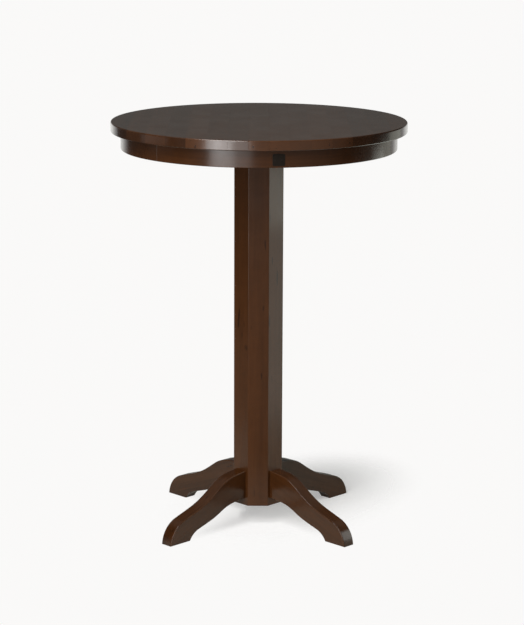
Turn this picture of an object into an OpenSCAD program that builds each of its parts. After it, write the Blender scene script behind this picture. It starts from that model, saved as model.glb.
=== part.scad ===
// A round, bar-height pub table. Staves glued edge to edge make its top, and a curved apron runs
// under the rim. Two crossed cleats carry the top on a hollow eight-sided column with four legs.
// The origin lies on the floor below the column's axis, and the front of the table faces -Y.
// Angles are counted from the front, towards the right (+X).

/* [Table] */
// Height of the table above the floor
table_h = 1066.8; // [950:0.1:1150]

/* [Top] */
// Diameter of the top
top_d = 762; // [700:1:840]
// Thickness of the top
top_t = 25.4; // [22:0.1:38]
// Number of staves glued edge to edge
stave_count = 15; // [11:2:19]
// Rounding of the rim's upper edge
rim_round = 3; // [1:0.5:6]
// Rounding of the rim's lower edge
rim_round_under = 2; // [1:0.5:4]

/* [Apron] */
// Height of the apron ring
apron_h = 44.6; // [38:0.2:64]
// Thickness of the apron ring
apron_t = 22; // [19:0.5:28]
// How far the rim stands out past the apron
overhang = 25.4; // [15:0.2:40]
// Number of curved segments in the ring
apron_count = 4; // [3:1:6]
// Angle of the first seam from the front
seam_angle = 45; // [30:1:60]
// Rounding of the apron's lower outer edge
apron_round = 1.5; // [0.5:0.5:4]
// Diameter of the dowels across each seam
dowel_d = 8; // [6:1:9]
// Length of the dowels
dowel_l = 40; // [30:1:50]
// Height from the lower dowel of a seam to the upper one
dowel_rise = 20; // [14:1:24]

/* [Cleats] */
// Width of each cleat
cleat_w = 90; // [76:1:110]
// Thickness of each cleat
cleat_t = 25.4; // [22:0.1:32]
// Gap between a cleat's corners and the apron
cleat_end_gap = 6; // [2:0.5:20]
// Chamfer under the ends of the cleats
cleat_chamfer = 10; // [4:0.5:16]
// Play of the half lap where the cleats cross
lap_play = 0.2; // [0.1:0.05:0.4]

/* [Column] */
// Width of the column across its flats
column_w = 127; // [116:0.5:145]
// Thickness of the column's staves
column_wall = 22; // [18:0.5:26]
// Height of the column's open lower end above the floor
column_clear = 52.3; // [44:0.1:64]
// Width of the eased flat along each corner
column_ease = 1.5; // [0.5:0.1:4]
// Length of the plug glued into the column's head
plug_l = 60; // [50:1:90]

/* [Legs] */
// Distance of the toes from the column's axis
leg_reach = 331.5; // [310:0.5:355]
// Thickness of the legs
leg_t = 36; // [30:0.5:44]
// Height of a leg's root, where it meets the column
root_h = 75; // [70:0.5:84]
// Rise of the root's lower edge above the column's lower end
root_rise = 19.7; // [12:0.1:28]
// Length of the flat under each foot
pad_l = 67.5; // [56:0.5:76]

/* [Leg, upper edge] */
// Distance of the crown's corner from the column's face
crown_out = 62.5; // [54:0.5:70]
// Drop of the crown's corner below the root's upper edge
crown_drop = 7; // [3:0.5:12]
// Rounding of the crown
crown_r = 111; // [80:1:125]
// Distance of the waist's corner from the toe
waist_in = 126.5; // [116:0.5:136]
// Height of the waist's corner above the floor
waist_z = 86; // [78:0.5:94]
// Rounding of the waist
waist_r = 254; // [180:1:280]
// Distance of the toe's corner from the toe
toe_in = 7.5; // [2:0.5:12]
// Height of the toe's corner above the floor
toe_z = 47; // [44:0.5:54]
// Rounding of the toe
toe_r = 67; // [50:1:70]

/* [Leg, lower edge] */
// Distance of the belly's corner from the column's face
belly_out = 59.5; // [52:0.5:66]
// Drop of the belly's corner below the root's lower edge
belly_drop = 4; // [1:0.5:8]
// Rounding of the belly
belly_r = 137; // [90:1:150]
// Distance of the arch's corner from the toe
arch_in = 155.5; // [148:0.5:164]
// Height of the arch's corner above the floor
arch_z = 42; // [36:0.5:47]
// Rounding of the arch
arch_r = 236; // [150:1:260]
// Distance of the heel's corner from the toe
heel_in = 79.5; // [78:0.5:86]
// Height of the heel's corner above the floor
heel_z = 19; // [18:0.5:24]
// Rounding of the heel
heel_r = 52; // [30:1:53]

/* [Screws] */
// Shank diameter of the screws into the top
screw_d = 4.5; // [3.5:0.1:5.5]
// Length of the screws into the top, under the head
screw_l = 30; // [26:0.5:34]
// Length of those screws that bites into the top
screw_bite = 12.6; // [9:0.2:16]
// Diameter of the screws' pan heads
screw_head_d = 9; // [7:0.1:10]
// Height of the screws' pan heads
screw_head_h = 3; // [2:0.1:3.6]
// Play around the screws where they pass freely
screw_play = 0.8; // [0.4:0.1:1.2]
// Angle from an apron seam to the nearest apron screw
apron_screw_angle = 15; // [10:0.5:18]
// Shank diameter of the screws into the column's plug
head_screw_d = 6; // [5:0.1:7]
// Overall length of the screws into the plug
head_screw_l = 65; // [55:0.5:72]
// Diameter of their countersunk heads
head_screw_head_d = 12; // [10:0.1:14]
// Spacing of the four screws into the plug
head_screw_pitch = 40; // [34:0.5:44]

/* [Hanger bolts] */
// Diameter of the hanger bolts
bolt_d = 8; // [6:0.5:9]
// Length of each bolt that is screwed into the leg
bolt_grip = 55; // [45:1:65]
// Height of the lower bolt above the root's lower edge
bolt_low = 18; // [15:0.5:22]
// Drop of the upper bolt below the root's upper edge
bolt_high = 19; // [16:0.5:24]
// Play around a bolt in the column's wall
bolt_play = 0.5; // [0.2:0.1:0.8]
// Length of a bolt that shows past its nut
bolt_show = 3; // [1:0.5:6]
// Diameter of the washers
washer_d = 20; // [16:0.5:24]
// Thickness of the washers
washer_t = 1.6; // [1.2:0.1:2.5]
// Width of the nuts across their flats
nut_w = 13; // [11:0.5:16]
// Height of the nuts
nut_h = 6.5; // [5:0.1:8]

/* [Badge] */
// Angle of the badge from the front
badge_angle = 7.7; // [0:0.1:20]
// Width of the badge
badge_w = 30; // [26:0.5:36]
// Height of the badge
badge_h = 29; // [25:0.5:31]
// Height of the badge's centre above the apron's lower edge
badge_z = 19.7; // [18:0.1:21]
// Thickness of the badge
badge_t = 1.5; // [1.2:0.1:2.5]
// Rounding of the badge's corners
badge_r = 4; // [3:0.5:6]
// Width of the badge's raised border
border_w = 2.5; // [1.5:0.1:3]
// Depth of the field inside the border
field_depth = 0.4; // [0.2:0.1:0.6]
// Spacing of the badge's two pins
pin_pitch = 16; // [12:0.5:18]
// Diameter of the pins
pin_d = 1.6; // [1.2:0.1:2]
// Length of a pin in the apron
pin_bite = 8; // [6:0.5:12]
// Diameter of the pins' heads
pin_head_d = 3.2; // [2.6:0.1:4]
// Height of the pins' domed heads
pin_head_h = 0.8; // [0.6:0.1:1.2]

/* [Fit] */
// Play of what is glued, pinned or screwed into wood
wood_play = 0.1; // [0.05:0.05:0.2]

/* [Hidden] */
$fn = 64;
wide_fn = 240; // for the outlines as wide as the top
leg_steps = 10; // points along each rounding of the legs
corner_steps = 6; // points along each corner of the badge
edge_steps = 5; // points along each rounding of the rim and the apron
over = 1; // how far a cut runs past the face that it opens
end_room = 1; // spare depth past the end of a screw, bolt, dowel or pin
point = 0.1; // a screw's point, as a share of its shank
espresso = "#4a3129";
espresso_dark = "#3a241d";
raw_wood = "#b8936a";
zinc = "#b9bcc0";
black_plate = "#1b1918";

// Heights of the pieces, stacked down from the top
top_z = table_h - top_t;
apron_z = top_z - apron_h;
cleat_z = top_z - cleat_t;
column_top = cleat_z;
root_z = column_clear + root_rise;

// Radii and widths
top_r = top_d / 2;
stave_w = top_d / stave_count;
apron_r = top_r - overhang;
apron_in = apron_r - apron_t;
apron_mid = apron_r - apron_t / 2;
segment_sweep = 360 / apron_count;
cleat_half = sqrt(pow(apron_in - cleat_end_gap, 2) - pow(cleat_w / 2, 2));
column_sides = 8;
mitre = 180 / column_sides;
flat_r = column_w / 2;
hollow_r = flat_r - column_wall;

// Where the screws and bolts stand
screw_seat = screw_l - screw_bite;
cleat_screws = [for (k = [1 : stave_count]) if (2 * k * stave_w + screw_head_d < cleat_half) 2 * k * stave_w];
apron_screws = [for (i = [0 : apron_count - 1], s = [apron_screw_angle, segment_sweep - apron_screw_angle])
    seam_angle + i * segment_sweep + s];
seat_spots = concat(
    [for (x = cleat_screws, s = [-1, 1]) [s * x, 0]],
    [for (y = cleat_screws, s = [-1, 1]) [0, s * y]],
    [for (a = apron_screws) [apron_mid * sin(a), -apron_mid * cos(a)]]
);
bolt_heights = [root_z + bolt_low, root_z + root_h - bolt_high];
nut_seat_r = hollow_r - washer_t;
bolt_end_r = nut_seat_r - nut_h - bolt_show;
pin_swing = pin_pitch / 2 / apron_r * 180 / PI;
head_sink = 0.5; // depth of the plug screws' heads under the cleats' upper face
head_cone = (head_screw_head_d - head_screw_d) / 2;

leg_names = ["leg_front_right", "leg_rear_right", "leg_rear_left", "leg_front_left"];
leg_turn = 360 / len(leg_names);

// Points of an arc of radius r that rounds corner p of the path a, p, b
function unit(v) = v / norm(v);
function rounded(a, p, b, r, steps) =
    let (
        u = unit(a - p),
        v = unit(b - p),
        half = acos(u * v) / 2,
        centre = p + unit(u + v) * r / sin(half),
        from = p + u * r / tan(half) - centre,
        to = p + v * r / tan(half) - centre,
        turn = atan2(from.x * to.y - from.y * to.x, from * to)
    )
    [for (k = [0 : steps]) let (t = turn * k / steps)
        centre + [from.x * cos(t) - from.y * sin(t), from.x * sin(t) + from.y * cos(t)]];

// An open path's points, with each inner corner rounded by its own radius
function rounded_path(path, radii) = concat(
    [path[0]],
    [for (i = [1 : len(path) - 2]) each rounded(path[i - 1], path[i], path[i + 1], radii[i - 1], leg_steps)],
    [path[len(path) - 1]]
);

// A closed loop's points, with each corner rounded by the same radius
function rounded_loop(loop, r) = let (n = len(loop))
    [for (i = [0 : n - 1]) each rounded(loop[(i + n - 1) % n], loop[i], loop[(i + 1) % n], r, corner_steps)];

// Turns what is drawn at the front to an angle
module facing(angle) {
    rotate([0, 0, angle]) children();
}

// A bar from x0 to x1 and z0 to z1 with its outer corners rounded
module rounded_bar(x0, x1, z0, z1, r_top, r_under) {
    top = r_top > 0 ? rounded([x1, z0], [x1, z1], [x0, z1], r_top, edge_steps) : [[x1, z1]];
    under = r_under > 0 ? rounded([x0, z0], [x1, z0], [x1, z1], r_under, edge_steps) : [[x1, z0]];
    polygon(concat([[x0, z0]], under, top, [[x0, z1]]));
}

// A pan-head wood screw that points up, with its head's seat at z = 0
module pan_screw(length) {
    tip = 2 * screw_d;
    crown = 0.7 * screw_head_d;
    recess = [0.5 * screw_head_d, 0.2 * screw_d, 1.2 * screw_head_h];
    difference() {
        union() {
            translate([0, 0, -screw_head_h]) cylinder(h = screw_head_h, d1 = crown, d2 = screw_head_d);
            cylinder(h = length - tip, d = screw_d);
            translate([0, 0, length - tip]) cylinder(h = tip, d1 = screw_d, d2 = point * screw_d);
        }
        for (a = [0, 90]) rotate([0, 0, a]) translate([0, 0, -screw_head_h]) cube(recess, center = true);
    }
}

// The way for a pan-head screw through a piece whose lower face is at z0, with the seat at z1
module screw_way(z0, z1) {
    translate([0, 0, z0 - over]) cylinder(h = z1 - z0 + over, d = screw_head_d + 2 * screw_play);
    translate([0, 0, z1]) cylinder(h = screw_seat + over, d = screw_d + 2 * screw_play);
}

// A stave of the top, counted from the left, with the holes for the screws under it
module top_stave(i) {
    x = (i - (stave_count + 1) / 2) * stave_w;
    left = i == 1 ? -top_d : x - stave_w / 2;
    right = i == stave_count ? top_d : x + stave_w / 2;
    color(i % 2 == 0 ? espresso : espresso_dark) difference() {
        intersection() {
            rotate_extrude($fn = wide_fn) rounded_bar(0, top_r, top_z, table_h, rim_round, rim_round_under);
            translate([left, -top_d, top_z - over]) cube([right - left, 2 * top_d, top_t + 2 * over]);
        }
        for (p = seat_spots) if (abs(p.x - x) < stave_w / 2 + screw_d)
            translate([p.x, p.y, top_z - over])
                cylinder(h = over + screw_bite + end_room, d = screw_d + 2 * wood_play);
    }
}

// Places what is drawn along X, around the ring at the front, on each of the dowels' axes
module at_dowels() {
    for (i = [0 : apron_count - 1], s = [-1, 1]) facing(seam_angle + i * segment_sweep)
        translate([0, -apron_mid, apron_z + apron_h / 2 + s * dowel_rise / 2]) children();
}

// A segment of the apron: the first faces the front, and the others follow towards the right
module apron_segment(i) {
    start = seam_angle + (i - 2) * segment_sweep;
    color(espresso) difference() {
        facing(start - 90) rotate_extrude(angle = segment_sweep, $fn = wide_fn)
            rounded_bar(apron_in, apron_r, apron_z, top_z, 0, apron_round);
        at_dowels() rotate([0, 90, 0])
            cylinder(h = dowel_l + 2 * end_room, d = dowel_d + 2 * wood_play, center = true);
        for (a = apron_screws) facing(a) translate([0, -apron_mid, 0]) screw_way(apron_z, top_z - screw_seat);
        at_pins() rotate([90, 0, 0])
            cylinder(h = 2 * (pin_bite + end_room), d = pin_d + 2 * wood_play, center = true);
    }
}

module apron_dowels() {
    bevel = 1;
    color(raw_wood) at_dowels() rotate([0, 90, 0]) {
        cylinder(h = dowel_l - 2 * bevel, d = dowel_d, center = true);
        for (s = [0, 1]) mirror([0, 0, s]) translate([0, 0, dowel_l / 2 - bevel])
            cylinder(h = bevel, d1 = dowel_d, d2 = dowel_d - 2 * bevel);
    }
}

module apron_screws() {
    color(zinc) for (a = apron_screws) facing(a)
        translate([0, -apron_mid, top_z - screw_seat]) pan_screw(screw_l);
}

// A cleat along X with its ends chamfered underneath and the ways for its screws
module cleat() {
    difference() {
        rotate([90, 0, 0]) linear_extrude(cleat_w, center = true) polygon([
            [-cleat_half, top_z], [-cleat_half, cleat_z + cleat_chamfer],
            [-cleat_half + cleat_chamfer, cleat_z], [cleat_half - cleat_chamfer, cleat_z],
            [cleat_half, cleat_z + cleat_chamfer], [cleat_half, top_z]
        ]);
        for (x = cleat_screws, s = [-1, 1]) translate([s * x, 0, 0]) screw_way(cleat_z, top_z - screw_seat);
        at_head_screws() countersunk_way();
    }
}

// The half of the lap that is cut away from a cleat, above or below its middle
module lap_notch(above) {
    lift = above ? 0 : -cleat_t;
    translate([-cleat_w / 2 - lap_play, -cleat_w, cleat_z + cleat_t / 2 + lift - (above ? lap_play / 2 : 0)])
        cube([cleat_w + 2 * lap_play, 2 * cleat_w, cleat_t + lap_play / 2]);
}

module cleat_across() {
    color(raw_wood) difference() {
        cleat();
        lap_notch(true);
    }
}

module cleat_lengthwise() {
    color(raw_wood) rotate([0, 0, 90]) difference() {
        cleat();
        lap_notch(false);
    }
}

module cleat_screws() {
    color(zinc) for (turn = [0, 90]) rotate([0, 0, turn]) for (x = cleat_screws, s = [-1, 1])
        translate([s * x, 0, top_z - screw_seat]) pan_screw(screw_l);
}

// Places what is drawn at the column's axis on each of the four screws into the plug
module at_head_screws() {
    for (x = [-1, 1], y = [-1, 1]) translate([x, y, 0] * head_screw_pitch / 2) children();
}

// The way for a screw into the plug, through the cleats from above
module countersunk_way() {
    head_way = head_screw_head_d + 2 * wood_play;
    translate([0, 0, cleat_z - over]) cylinder(h = cleat_t + 2 * over, d = head_screw_d + screw_play);
    translate([0, 0, top_z - head_sink - head_cone])
        cylinder(h = head_cone + wood_play, d1 = head_screw_d, d2 = head_way);
    translate([0, 0, top_z - head_sink]) cylinder(h = head_sink + over, d = head_way);
}

module column_head_screws() {
    tip = 1.5 * head_screw_d;
    recess = 0.6 * head_screw_d;
    color(zinc) at_head_screws() translate([0, 0, top_z - head_sink]) mirror([0, 0, 1]) difference() {
        union() {
            cylinder(h = head_cone, d1 = head_screw_head_d, d2 = head_screw_d);
            translate([0, 0, head_cone]) cylinder(h = head_screw_l - head_cone - tip, d = head_screw_d);
            translate([0, 0, head_screw_l - tip])
                cylinder(h = tip, d1 = head_screw_d, d2 = point * head_screw_d);
        }
        cylinder(h = head_cone, d = recess, $fn = 6);
    }
}

// A mitred stave of the column: the first faces the front, and the others follow towards the right.
// The even ones stand behind the legs and have the ways for their bolts.
module column_stave(i) {
    corner_r = flat_r / cos(mitre) - column_ease / 2 * tan(mitre);
    face_half = flat_r * tan(mitre) - column_ease / 2 / cos(mitre);
    outer = [[-face_half, -flat_r], [face_half, -flat_r], [corner_r * sin(mitre), -corner_r * cos(mitre)]];
    inner = [[hollow_r * tan(mitre), -hollow_r], [-hollow_r * tan(mitre), -hollow_r]];
    far_corner = [[-corner_r * sin(mitre), -corner_r * cos(mitre)]];
    color(i % 2 == 0 ? espresso : espresso_dark) facing((i - 1) * 2 * mitre) difference() {
        translate([0, 0, column_clear]) linear_extrude(column_top - column_clear)
            polygon(concat(outer, inner, far_corner));
        if (i % 2 == 0) for (z = bolt_heights) translate([0, 0, z]) rotate([90, 0, 0])
            cylinder(h = 2 * flat_r, d = bolt_d + 2 * bolt_play);
    }
}

module column_plug() {
    color(raw_wood) difference() {
        translate([0, 0, column_top - plug_l]) linear_extrude(plug_l) rotate(mitre)
            circle(r = (hollow_r - wood_play) / cos(mitre), $fn = column_sides);
        at_head_screws() translate([0, 0, top_z - head_sink - head_screw_l - end_room])
            cylinder(h = head_screw_l, d = head_screw_d + 2 * wood_play);
    }
}

// The leg's side, drawn with the distance from the column's axis along X and the height along Y
module leg_side() {
    root_top = root_z + root_h;
    upper = rounded_path([
        [flat_r, root_top], [flat_r + crown_out, root_top - crown_drop], [leg_reach - waist_in, waist_z],
        [leg_reach - toe_in, toe_z], [leg_reach, 0]
    ], [crown_r, waist_r, toe_r]);
    lower = rounded_path([
        [leg_reach - pad_l, 0], [leg_reach - heel_in, heel_z], [leg_reach - arch_in, arch_z],
        [flat_r + belly_out, root_z - belly_drop], [flat_r, root_z]
    ], [heel_r, arch_r, belly_r]);
    polygon(concat(upper, lower));
}

module leg(i) {
    color(espresso) facing((i + 0.5) * leg_turn) difference() {
        rotate([90, 0, -90]) linear_extrude(leg_t, center = true) leg_side();
        for (z = bolt_heights) translate([0, 0, z]) rotate([90, 0, 0])
            cylinder(h = flat_r + bolt_grip + end_room, d = bolt_d + 2 * wood_play);
    }
}

// Places what is drawn along +Z from the column's axis on each of the bolts' axes
module at_bolts() {
    for (i = [0 : len(leg_names) - 1], z = bolt_heights)
        facing((i + 0.5) * leg_turn) translate([0, 0, z]) rotate([90, 0, 0]) children();
}

module hanger_bolts() {
    tip = 1.5 * bolt_d;
    bevel = 0.8;
    shank_l = flat_r + bolt_grip - tip - bolt_end_r - bevel;
    color(zinc) at_bolts() {
        translate([0, 0, bolt_end_r]) cylinder(h = bevel, d1 = bolt_d - 2 * bevel, d2 = bolt_d);
        translate([0, 0, bolt_end_r + bevel]) cylinder(h = shank_l, d = bolt_d);
        translate([0, 0, flat_r + bolt_grip - tip]) cylinder(h = tip, d1 = bolt_d, d2 = point * bolt_d);
    }
}

module bolt_washers() {
    color(zinc) at_bolts() translate([0, 0, nut_seat_r]) difference() {
        cylinder(h = washer_t, d = washer_d);
        translate([0, 0, -over]) cylinder(h = washer_t + 2 * over, d = bolt_d + 2 * wood_play);
    }
}

module bolt_nuts() {
    color(zinc) at_bolts() translate([0, 0, nut_seat_r - nut_h]) difference() {
        cylinder(h = nut_h, r = nut_w / 2 / cos(30), $fn = 6);
        translate([0, 0, -over]) cylinder(h = nut_h + 2 * over, d = bolt_d + 2 * wood_play);
    }
}

// A piece of a plate that follows the apron's curve from radius r outwards. Its outline around the
// badge's middle is w wide and h high, with rounded corners.
module curved_plate(r, w, h, corner) {
    sweep = 40;
    reach = 5;
    intersection() {
        facing(badge_angle - 90 - sweep / 2) rotate_extrude(angle = sweep, $fn = wide_fn)
            translate([r, apron_z]) square([badge_t, apron_h]);
        facing(badge_angle) translate([0, reach - r, apron_z + badge_z]) rotate([90, 0, 0])
            linear_extrude(2 * reach)
                polygon(rounded_loop([[w, h] / 2, [-w, h] / 2, [-w, -h] / 2, [w, -h] / 2], corner));
    }
}

module badge_plate() {
    floor_r = apron_r + badge_t - field_depth;
    color(black_plate) difference() {
        curved_plate(apron_r, badge_w, badge_h, badge_r);
        curved_plate(floor_r, badge_w - 2 * border_w, badge_h - 2 * border_w, badge_r - border_w / 2);
        at_pins() rotate([90, 0, 0]) cylinder(h = 2 * badge_t, d = pin_d + 2 * wood_play);
    }
}

// Places what is drawn around the apron's face, at the front, on each of the badge's pins
module at_pins() {
    for (s = [-1, 1]) facing(badge_angle + s * pin_swing)
        translate([0, -apron_r, apron_z + badge_z]) children();
}

module badge_pins() {
    seat = badge_t - field_depth;
    dome_r = (pow(pin_head_d / 2, 2) + pow(pin_head_h, 2)) / (2 * pin_head_h);
    color(black_plate) at_pins() rotate([90, 0, 0]) {
        translate([0, 0, -pin_bite]) cylinder(h = pin_bite + seat, d = pin_d);
        intersection() {
            translate([0, 0, seat + pin_head_h - dome_r]) sphere(dome_r);
            translate([0, 0, seat]) cylinder(h = pin_head_h + over, d = pin_head_d);
        }
    }
}

for (i = [1 : stave_count]) top_stave(i);
for (i = [1 : apron_count]) apron_segment(i);
apron_dowels();
apron_screws();
cleat_across();
cleat_lengthwise();
cleat_screws();
for (i = [1 : column_sides]) column_stave(i);
column_plug();
column_head_screws();
for (i = [0 : len(leg_names) - 1]) leg(i);
hanger_bolts();
bolt_washers();
bolt_nuts();
badge_plate();
badge_pins();
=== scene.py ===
"""Builds the looks of a round, bar-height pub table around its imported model.

Sizes are in metres. The origin lies on the floor below the column, and the front of the table
faces -Y. Angles are counted from the front, towards the right.
"""

import math
import random

import bmesh
import bpy
from mathutils import Matrix, Vector


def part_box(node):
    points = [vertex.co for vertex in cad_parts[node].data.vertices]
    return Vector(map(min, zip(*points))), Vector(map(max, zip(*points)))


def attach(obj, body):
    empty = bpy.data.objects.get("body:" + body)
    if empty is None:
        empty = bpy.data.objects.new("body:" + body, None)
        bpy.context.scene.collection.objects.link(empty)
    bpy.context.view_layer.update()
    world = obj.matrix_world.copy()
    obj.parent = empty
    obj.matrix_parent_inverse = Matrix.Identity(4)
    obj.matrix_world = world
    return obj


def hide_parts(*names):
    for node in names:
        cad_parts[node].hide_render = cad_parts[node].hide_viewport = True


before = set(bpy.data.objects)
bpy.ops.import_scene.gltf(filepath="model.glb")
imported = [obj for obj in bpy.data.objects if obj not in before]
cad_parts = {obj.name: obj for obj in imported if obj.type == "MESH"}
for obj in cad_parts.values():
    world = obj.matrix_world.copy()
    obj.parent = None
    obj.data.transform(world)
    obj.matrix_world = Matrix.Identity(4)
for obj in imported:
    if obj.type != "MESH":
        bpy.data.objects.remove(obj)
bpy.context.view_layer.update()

bl_info = {
    "name": "Pub table",
    "version": (1, 0, 0),
    "blender": (4, 5, 0),
    "location": "View3D > Sidebar > Pub table",
    "description": "Round pub table in dark-stained wood, with a small studio around it",
    "category": "Add Mesh",
}


def numbered(stem):
    """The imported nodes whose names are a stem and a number, in the order of the numbers"""
    nodes = [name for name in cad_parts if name.startswith(stem)]
    return sorted(nodes, key=lambda name: int(name.rsplit("_", 1)[1]))


STAVES = numbered("top_stave_")
SEGMENTS = numbered("apron_segment_")
BOARDS = numbered("column_stave_")
# Each leg with its angle
LEGS = {"leg_front_right": 45, "leg_rear_right": 135, "leg_rear_left": 225, "leg_front_left": 315}
FASTENERS = (
    "apron_screws", "cleat_screws", "column_head_screws", "hanger_bolts", "bolt_washers", "bolt_nuts",
)

# The middle stave is as long as the top is wide, and the first segment and board are at the front
top_low, top_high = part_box("top_stave_8")
apron_low, apron_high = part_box("apron_segment_1")
column_low, column_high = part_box("column_stave_1")

# How light each board is, from 0 to 1: the staves from left to right, the segments and the
# column's boards from the front towards the right, and the legs in the order of LEGS. The first two
# staves at the left are darker as painted shade, where the light falls off at the rim's left end
STAVE_TONES_AND_SHADE = (0.16, 0.30, 0.44, 0.33, 0.56, 0.47, 0.45, 0.56, 0.60, 0.59, 0.68, 0.58, 0.40, 0.36, 0.45)
APRON_TONES = (0.66, 0.60, 0.60, 0.58)
COLUMN_TONES = (0.84, 0.90, 0.76, 0.82, 0.70, 0.76, 0.82, 0.84)
LEG_TONES = (0.70, 0.51, 0.44, 0.61)

# Seeds of the random draws that place each board in its log
TOP_SEED, APRON_SEED, COLUMN_SEED, LEG_SEED = 11, 23, 5, 31
LOG_SPAN = (2, 9)  # how far along its log a board may start
APRON_LOG_SPAN = (1, 9)  # the same for a segment of the apron
APRON_PITH = (0.03, 0.05)  # from the pith to a segment's lower inner edge, across and through the board

# The leg's side. Its root rises from the column's lower end, and its pad is the flat under the foot.
# Each corner of its edges lies so far out from the column's face or in from the toe, and so high
# above the floor, or so far down from the root's upper or lower edge, and is rounded
ROOT_RISE = 0.0197
ROOT_HEIGHT = 0.075
CROWN_OUT, CROWN_DROP, CROWN_ROUND = 0.0625, 0.007, 0.111
WAIST_IN, WAIST_HEIGHT, WAIST_ROUND = 0.1265, 0.086, 0.254
TOE_IN, TOE_HEIGHT, TOE_ROUND = 0.0075, 0.047, 0.067
PAD_LENGTH = 0.0675
HEEL_IN, HEEL_HEIGHT, HEEL_ROUND = 0.0795, 0.019, 0.052
ARCH_IN, ARCH_HEIGHT, ARCH_ROUND = 0.1555, 0.042, 0.236
BELLY_OUT, BELLY_DROP, BELLY_ROUND = 0.0595, 0.004, 0.137

APRON_INNER_ROUND = 0.0008  # rounding of the apron's lower inner edge
SCREW_ANGLE = 15  # from an apron seam to the nearest screw, in degrees
COLUMN_FOOT_EASE = 0.0008  # rounding around the column's lower end
BOARD_GAP = 0.00008  # half the gap between neighbouring boards, at the column's hollow

RIM_STEPS = 720  # faces around the whole rim
SEGMENT_STEPS = 120  # faces along a segment of the apron
CURVE_STEPS = 24  # faces along each rounding of a leg's side
SHARP_ANGLE = 32  # from this angle in degrees on, an edge is shaded sharp
TOUCH = 1e-7  # a point closer than this to a plane lies in it


class TableSizes(bpy.types.PropertyGroup):
    """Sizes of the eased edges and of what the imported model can't tell by its boxes"""

    rim_round: bpy.props.FloatProperty(
        name="Rim rounding", description="Rounding of the rim's upper edge",
        default=0.003, unit="LENGTH",
    )
    rim_round_under: bpy.props.FloatProperty(
        name="Lower rim rounding", description="Rounding of the rim's lower edge",
        default=0.002, unit="LENGTH",
    )
    glue_ease: bpy.props.FloatProperty(
        name="Glue line easing", description="Easing of the edges along each glue line",
        default=0.00025, unit="LENGTH",
    )
    seam_ease: bpy.props.FloatProperty(
        name="Seam easing", description="Easing of the edges at the apron's seams",
        default=0.0006, unit="LENGTH",
    )
    apron_wall: bpy.props.FloatProperty(
        name="Apron thickness", description="Thickness of the apron ring",
        default=0.022, unit="LENGTH",
    )
    apron_round: bpy.props.FloatProperty(
        name="Apron rounding", description="Rounding of the apron's lower outer edge",
        default=0.0015, unit="LENGTH",
    )
    screw_way: bpy.props.FloatProperty(
        name="Screw way", description="Diameter of the ways for the apron's screws",
        default=0.0106, unit="LENGTH",
    )
    screw_way_depth: bpy.props.FloatProperty(
        name="Screw way depth", description="Depth of the ways for the apron's screws",
        default=0.0272, unit="LENGTH",
    )
    column_wall: bpy.props.FloatProperty(
        name="Column wall", description="Thickness of the column's boards",
        default=0.022, unit="LENGTH",
    )
    column_ease: bpy.props.FloatProperty(
        name="Column easing", description="Width of the rounding along the column's corners",
        default=0.0018, unit="LENGTH",
    )
    leg_reach: bpy.props.FloatProperty(
        name="Leg reach", description="Distance of the toes from the column's axis",
        default=0.3315, unit="LENGTH",
    )
    leg_wall: bpy.props.FloatProperty(
        name="Leg thickness", description="Thickness of the legs",
        default=0.036, unit="LENGTH",
    )
    leg_ease: bpy.props.FloatProperty(
        name="Leg easing", description="Rounding along the legs' edges",
        default=0.0022, unit="LENGTH",
    )


class TableColours(bpy.types.PropertyGroup):
    """Colours of the stain, the bare wood and the metal"""

    stain_light: bpy.props.FloatVectorProperty(
        name="Light stain", description="Stain where the grain takes little of it", subtype="COLOR",
        default=(0.0650, 0.0222, 0.0062), min=0, max=1,
    )
    stain_dark: bpy.props.FloatVectorProperty(
        name="Dark stain", description="Stain where the grain takes much of it", subtype="COLOR",
        default=(0.0172, 0.0056, 0.0013), min=0, max=1,
    )
    stain_worn: bpy.props.FloatVectorProperty(
        name="Worn stain", description="Stain rubbed thin along the edges", subtype="COLOR",
        default=(0.095, 0.046, 0.024), min=0, max=1,
    )
    bare_light: bpy.props.FloatVectorProperty(
        name="Light bare wood", description="Pale grain of the plug and the dowels", subtype="COLOR",
        default=(0.58, 0.42, 0.26), min=0, max=1,
    )
    bare_dark: bpy.props.FloatVectorProperty(
        name="Dark bare wood", description="Dark grain of the plug and the dowels", subtype="COLOR",
        default=(0.40, 0.26, 0.14), min=0, max=1,
    )
    zinc: bpy.props.FloatVectorProperty(
        name="Zinc", description="Plating of the screws and bolts", subtype="COLOR",
        default=(0.60, 0.60, 0.61), min=0, max=1,
    )
    badge: bpy.props.FloatVectorProperty(
        name="Badge", description="Lacquer of the badge", subtype="COLOR",
        default=(0.0085, 0.0060, 0.0042), min=0, max=1,
    )


class Studio(bpy.types.PropertyGroup):
    """The camera and the colour around the table"""

    lens: bpy.props.FloatProperty(
        name="Lens", description="Focal length of the camera",
        default=123.77, unit="CAMERA",
    )
    camera_back: bpy.props.FloatProperty(
        name="Camera distance", description="Distance of the camera in front of the column",
        default=5.4961, unit="LENGTH",
    )
    camera_height: bpy.props.FloatProperty(
        name="Camera height", description="Height of the camera above the floor",
        default=1.7734, unit="LENGTH",
    )
    camera_tilt: bpy.props.FloatProperty(
        name="Camera tilt", description="How far the camera looks down",
        default=0.2170, subtype="ANGLE",
    )
    camera_pan: bpy.props.FloatProperty(
        name="Camera pan", description="How far the camera turns to the right",
        default=0.0017, subtype="ANGLE",
    )
    camera_roll: bpy.props.FloatProperty(
        name="Camera roll", description="How far the camera leans",
        default=-0.0039, subtype="ANGLE",
    )
    background: bpy.props.FloatVectorProperty(
        name="Background", description="Colour of the floor and the backdrop", subtype="COLOR",
        default=(0.955, 0.948, 0.940), min=0, max=1,
    )


# Node trees

# The places of the sockets of a Mix node that blends colours
MIX_FACTOR, MIX_FIRST, MIX_SECOND = 0, 6, 7
MIX_RESULT = 2


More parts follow.
